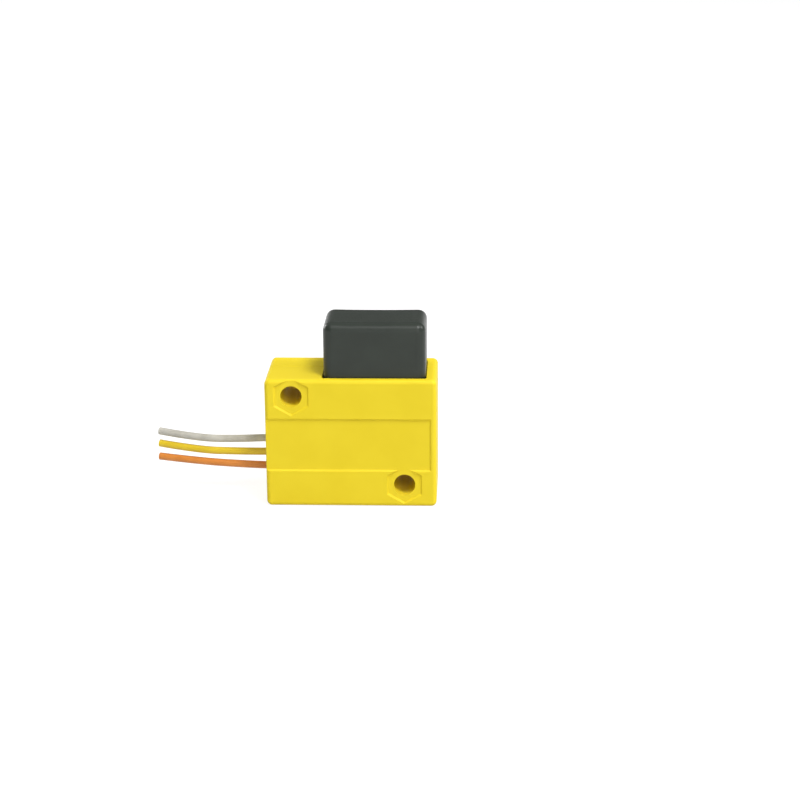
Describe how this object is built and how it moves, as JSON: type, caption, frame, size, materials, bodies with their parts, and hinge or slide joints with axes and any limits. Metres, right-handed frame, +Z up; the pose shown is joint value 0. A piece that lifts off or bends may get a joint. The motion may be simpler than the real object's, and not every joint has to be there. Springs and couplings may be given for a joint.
{
  "type": "enabling switch",
  "caption": "Compact three-position enabling switch: slim two-part moulded housing, sprung push button on top, diagonal through holes for screws and short flying leads at one side.",
  "frame": {"origin": "under the middle of the housing, on its bottom face", "axes": "+X to the right of the housing's front face, away from the leads; +Y from the front face to the back; +Z up, towards the button"},
  "size_m": [0.0608, 0.018, 0.0395],
  "materials": {
    "housing": "satin moulded yellow thermoplastic",
    "button": "satin moulded dark grey thermoplastic",
    "inner_plastic": "natural nylon",
    "contact_plastic": "black phenolic",
    "screw_steel": "zinc plated",
    "spring_wire": "bright drawn wire",
    "stop_rubber": "plain",
    "terminal_brass": "stamped",
    "bridge_alloy": "stamped spring strip",
    "copper": "tinned ends",
    "solder": "bright",
    "lead_white": "smooth insulation",
    "lead_yellow": "smooth insulation",
    "lead_orange": "smooth insulation"
  },
  "bodies": {
    "housing": {"front_shell": "housing", "rear_shell": "housing", "shell_screws": "screw_steel", "spring_shelf": "inner_plastic", "stop_pad": "stop_rubber", "return_spring_left": "spring_wire", "return_spring_right": "spring_wire", "stage_spring": "spring_wire", "contact_block": "contact_plastic", "common_terminal": "terminal_brass", "enable_terminal": "terminal_brass", "monitor_terminal": "terminal_brass", "pivot_pin": "screw_steel", "pivot_clip": "spring_wire", "lead_white": "lead_white", "lead_yellow": "lead_yellow", "lead_orange": "lead_orange", "lead_conductors": "copper", "solder_joints": "solder", "lead_comb": "inner_plastic"},
    "push_button": {"button": "button", "plunger": "inner_plastic", "plunger_screws": "screw_steel"},
    "rocker": {"contact_lever": "contact_plastic", "bridge_contact": "bridge_alloy", "bridge_rivets": "terminal_brass"}
  },
  "joints": [
    {"name": "button_press", "type": "slide", "parent": "housing", "child": "push_button", "axis": [0, 0, -1], "range_m": [0, 0.0045], "stiffness_N_per_m": 1000, "springref_m": -0.0002, "deforming": ["return_spring_left", "return_spring_right", "stage_spring"]},
    {"name": "lever_rock", "type": "hinge", "parent": "housing", "child": "rocker", "pos_m": [-0.005, 0, 0.01585], "axis": [0, 1, 0], "range_deg": [0, 25.4]}
  ],
  "couplings": [
    {"joint": "lever_rock", "follows": "button_press", "rad_per_m": 98.362}
  ]
}
